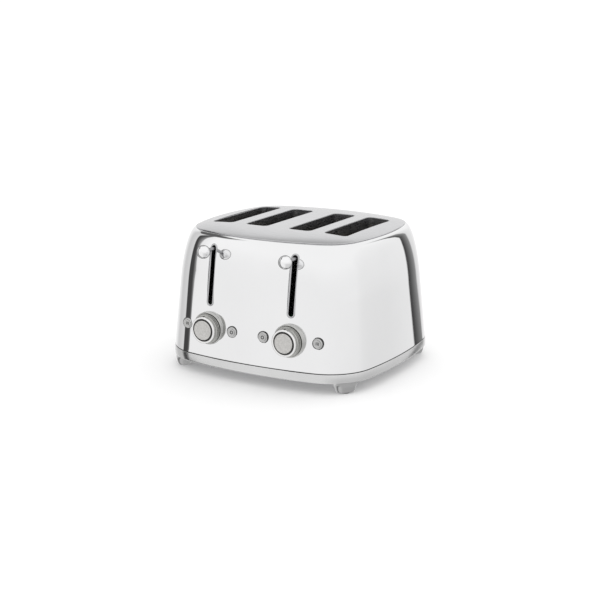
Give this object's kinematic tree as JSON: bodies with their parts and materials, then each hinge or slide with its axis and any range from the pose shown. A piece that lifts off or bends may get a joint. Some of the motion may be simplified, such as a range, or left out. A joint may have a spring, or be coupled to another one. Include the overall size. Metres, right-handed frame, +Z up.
{
  "type": "pop up toaster",
  "caption": "Free-standing long-slot pop up toaster: bowed polished steel shell, crowned top, ball levers, stepped browning dials with stop buttons, flared feet, rear crumb trays.",
  "frame": {"origin": "middle of the body on the worktop, under the feet", "axes": "+Z up, front with the dials towards -Y, +X to the right seen from the front"},
  "size_m": [0.325, 0.3237, 0.2062],
  "materials": {
    "polished_steel": "mirror polished",
    "brushed_steel": "fine satin",
    "satin_alloy": "satin",
    "pad_rubber": "matt",
    "zinc_sheet": "plated sheet",
    "liner_steel": "satin",
    "mica": "matt mica",
    "nichrome": "dull",
    "guide_wire": "bright wire",
    "chrome": "bright chrome",
    "dial_ring": "satin",
    "satin_dial": "satin",
    "turned_steel": "turned",
    "soft_iron": "plain",
    "coil_copper": "enamelled wire",
    "circuit_board": "laminate",
    "black_plastic": "moulded",
    "tray_steel": "satin sheet"
  },
  "bodies": {
    "toaster": {"base_ring": "satin_alloy", "base_screws": "turned_steel", "bottom_plate": "zinc_sheet", "control_board": "circuit_board", "cord_gland": "pad_rubber", "cord_wrap": "black_plastic", "dial_bezel_left": "dial_ring", "dial_bezel_right": "dial_ring", "foot_front_left": "satin_alloy", "foot_front_right": "satin_alloy", "foot_pads": "pad_rubber", "foot_rear_left": "satin_alloy", "foot_rear_right": "satin_alloy", "front_chassis": "zinc_sheet", "guide_rods": "turned_steel", "heat_shields": "zinc_sheet", "lever_bezel_left": "chrome", "lever_bezel_right": "chrome", "magnet_coils": "coil_copper", "magnet_cores": "soft_iron", "mica_boards": "mica", "outer_shell": "polished_steel", "potentiometers": "black_plastic", "rear_chassis": "zinc_sheet", "slot_liners": "liner_steel", "tact_switches": "black_plastic", "terminal_block": "black_plastic", "top_plate": "brushed_steel", "windings": "nichrome"},
    "lift_left": {"lever_left": "chrome", "carriage_left": "zinc_sheet", "armature_left": "soft_iron", "bread_shelves_left": "zinc_sheet", "carriage_spring_left": "guide_wire"},
    "dial_left": {"dial_knob_left": "satin_dial", "dial_shaft_left": "turned_steel"},
    "stop_left": {"stop_button_left": "satin_dial"},
    "push_left_inner": {"button_left_inner": "chrome"},
    "push_left_outer": {"button_left_outer": "chrome"},
    "tray_left": {"crumb_tray_left": "tray_steel"},
    "lift_right": {"lever_right": "chrome", "carriage_right": "zinc_sheet", "armature_right": "soft_iron", "bread_shelves_right": "zinc_sheet", "carriage_spring_right": "guide_wire"},
    "dial_right": {"dial_knob_right": "satin_dial", "dial_shaft_right": "turned_steel"},
    "stop_right": {"stop_button_right": "satin_dial"},
    "push_right_inner": {"button_right_inner": "chrome"},
    "push_right_outer": {"button_right_outer": "chrome"},
    "tray_right": {"crumb_tray_right": "tray_steel"},
    "guide_1_left": {"bread_guide_1_left": "guide_wire"},
    "guide_1_right": {"bread_guide_1_right": "guide_wire"},
    "guide_2_left": {"bread_guide_2_left": "guide_wire"},
    "guide_2_right": {"bread_guide_2_right": "guide_wire"},
    "guide_3_left": {"bread_guide_3_left": "guide_wire"},
    "guide_3_right": {"bread_guide_3_right": "guide_wire"},
    "guide_4_left": {"bread_guide_4_left": "guide_wire"},
    "guide_4_right": {"bread_guide_4_right": "guide_wire"}
  },
  "joints": [
    {"name": "lift_left_slide", "type": "slide", "parent": "toaster", "child": "lift_left", "axis": [0, 0, 1], "range_m": [-0.069, 0], "stiffness_N_per_m": 70, "springref_m": 0.06, "deforming": ["carriage_spring_left"]},
    {"name": "dial_left_turn", "type": "hinge", "parent": "toaster", "child": "dial_left", "pos_m": [-0.065, -0.15, 0.0706], "axis": [0, 1, 0], "range_deg": [-135, 135]},
    {"name": "stop_left_press", "type": "slide", "parent": "toaster", "child": "stop_left", "axis": [0, 1, 0], "range_m": [0, 0.0015], "stiffness_N_per_m": 800, "springref_m": -0.001},
    {"name": "push_left_inner_press", "type": "slide", "parent": "toaster", "child": "push_left_inner", "axis": [0, 1, 0], "range_m": [0, 0.0015], "stiffness_N_per_m": 600, "springref_m": -0.001},
    {"name": "push_left_outer_press", "type": "slide", "parent": "toaster", "child": "push_left_outer", "axis": [0, 1, 0], "range_m": [0, 0.0015], "stiffness_N_per_m": 600, "springref_m": -0.001},
    {"name": "tray_left_slide", "type": "slide", "parent": "toaster", "child": "tray_left", "axis": [0, 1, 0], "range_m": [0, 0.2]},
    {"name": "lift_right_slide", "type": "slide", "parent": "toaster", "child": "lift_right", "axis": [0, 0, 1], "range_m": [-0.069, 0], "stiffness_N_per_m": 70, "springref_m": 0.06, "deforming": ["carriage_spring_right"]},
    {"name": "dial_right_turn", "type": "hinge", "parent": "toaster", "child": "dial_right", "pos_m": [0.065, -0.15, 0.0706], "axis": [0, 1, 0], "range_deg": [-135, 135]},
    {"name": "stop_right_press", "type": "slide", "parent": "toaster", "child": "stop_right", "axis": [0, 1, 0], "range_m": [0, 0.0015], "stiffness_N_per_m": 800, "springref_m": -0.001},
    {"name": "push_right_inner_press", "type": "slide", "parent": "toaster", "child": "push_right_inner", "axis": [0, 1, 0], "range_m": [0, 0.0015], "stiffness_N_per_m": 600, "springref_m": -0.001},
    {"name": "push_right_outer_press", "type": "slide", "parent": "toaster", "child": "push_right_outer", "axis": [0, 1, 0], "range_m": [0, 0.0015], "stiffness_N_per_m": 600, "springref_m": -0.001},
    {"name": "tray_right_slide", "type": "slide", "parent": "toaster", "child": "tray_right", "axis": [0, 1, 0], "range_m": [0, 0.2]},
    {"name": "guide_1_left_tilt", "type": "hinge", "parent": "toaster", "child": "guide_1_left", "pos_m": [-0.1084, 0, 0.05], "axis": [0, 1, 0], "range_deg": [0, 3.7]},
    {"name": "guide_1_right_tilt", "type": "hinge", "parent": "toaster", "child": "guide_1_right", "pos_m": [-0.0736, 0, 0.05], "axis": [0, 1, 0], "range_deg": [-3.7, 0]},
    {"name": "guide_2_left_tilt", "type": "hinge", "parent": "toaster", "child": "guide_2_left", "pos_m": [-0.0524, 0, 0.05], "axis": [0, 1, 0], "range_deg": [0, 3.7]},
    {"name": "guide_2_right_tilt", "type": "hinge", "parent": "toaster", "child": "guide_2_right", "pos_m": [-0.0176, 0, 0.05], "axis": [0, 1, 0], "range_deg": [-3.7, 0]},
    {"name": "guide_3_left_tilt", "type": "hinge", "parent": "toaster", "child": "guide_3_left", "pos_m": [0.0176, 0, 0.05], "axis": [0, 1, 0], "range_deg": [0, 3.7]},
    {"name": "guide_3_right_tilt", "type": "hinge", "parent": "toaster", "child": "guide_3_right", "pos_m": [0.0524, 0, 0.05], "axis": [0, 1, 0], "range_deg": [-3.7, 0]},
    {"name": "guide_4_left_tilt", "type": "hinge", "parent": "toaster", "child": "guide_4_left", "pos_m": [0.0736, 0, 0.05], "axis": [0, 1, 0], "range_deg": [0, 3.7]},
    {"name": "guide_4_right_tilt", "type": "hinge", "parent": "toaster", "child": "guide_4_right", "pos_m": [0.1084, 0, 0.05], "axis": [0, 1, 0], "range_deg": [-3.7, 0]}
  ],
  "couplings": [
    {"joint": "guide_1_left_tilt", "follows": "lift_left_slide", "rad_per_m": -0.88531},
    {"joint": "guide_1_right_tilt", "follows": "lift_left_slide", "rad_per_m": 0.88531},
    {"joint": "guide_2_left_tilt", "follows": "lift_left_slide", "rad_per_m": -0.88531},
    {"joint": "guide_2_right_tilt", "follows": "lift_left_slide", "rad_per_m": 0.88531},
    {"joint": "guide_3_left_tilt", "follows": "lift_right_slide", "rad_per_m": -0.88531},
    {"joint": "guide_3_right_tilt", "follows": "lift_right_slide", "rad_per_m": 0.88531},
    {"joint": "guide_4_left_tilt", "follows": "lift_right_slide", "rad_per_m": -0.88531},
    {"joint": "guide_4_right_tilt", "follows": "lift_right_slide", "rad_per_m": 0.88531}
  ]
}
